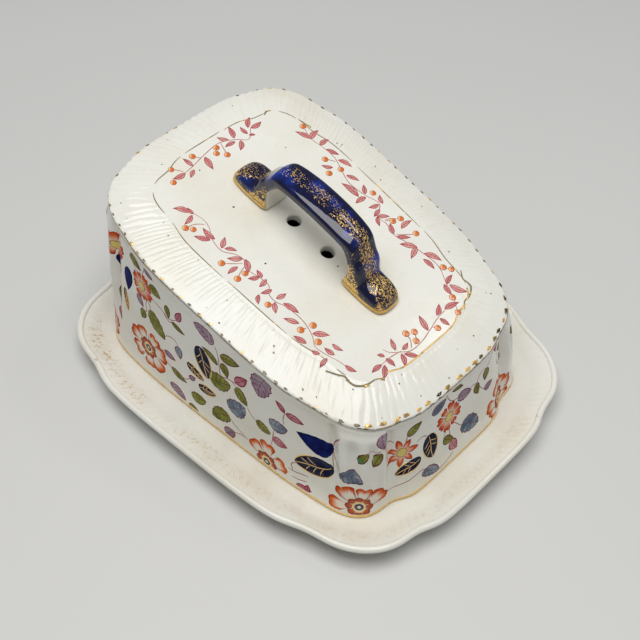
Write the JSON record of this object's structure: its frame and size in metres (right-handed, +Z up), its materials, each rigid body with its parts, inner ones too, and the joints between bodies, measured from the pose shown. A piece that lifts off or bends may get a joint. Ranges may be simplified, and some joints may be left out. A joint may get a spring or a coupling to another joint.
{
  "type": "covered butter dish",
  "caption": "Wedge-shaped glazed earthenware butter and cheese dish: lobed under-dish, loose sloping cover with fluted border and vent holes, and a bridge handle.",
  "frame": {"origin": "on the table, under the middle of the stand's outline", "axes": "+X along the dish towards the cover's low end, +Y across it, +Z up"},
  "size_m": [0.2496, 0.2116, 0.1288],
  "materials": {
    "stand_glaze": "glossy warm white glaze, crazed and stained with age",
    "cover_glaze": "glossy warm white glaze with painted flowers, leaves and worn gilding",
    "handle_cobalt": "glossy cobalt blue glaze sponged with gold"
  },
  "bodies": {
    "stand": {"stand": "stand_glaze"},
    "cover": {"cover": "cover_glaze", "handle": "handle_cobalt"}
  },
  "joints": [
    {"name": "cover_lift", "type": "slide", "parent": "stand", "child": "cover", "axis": [0, 0, 1], "range_m": [0, 0.15]}
  ]
}
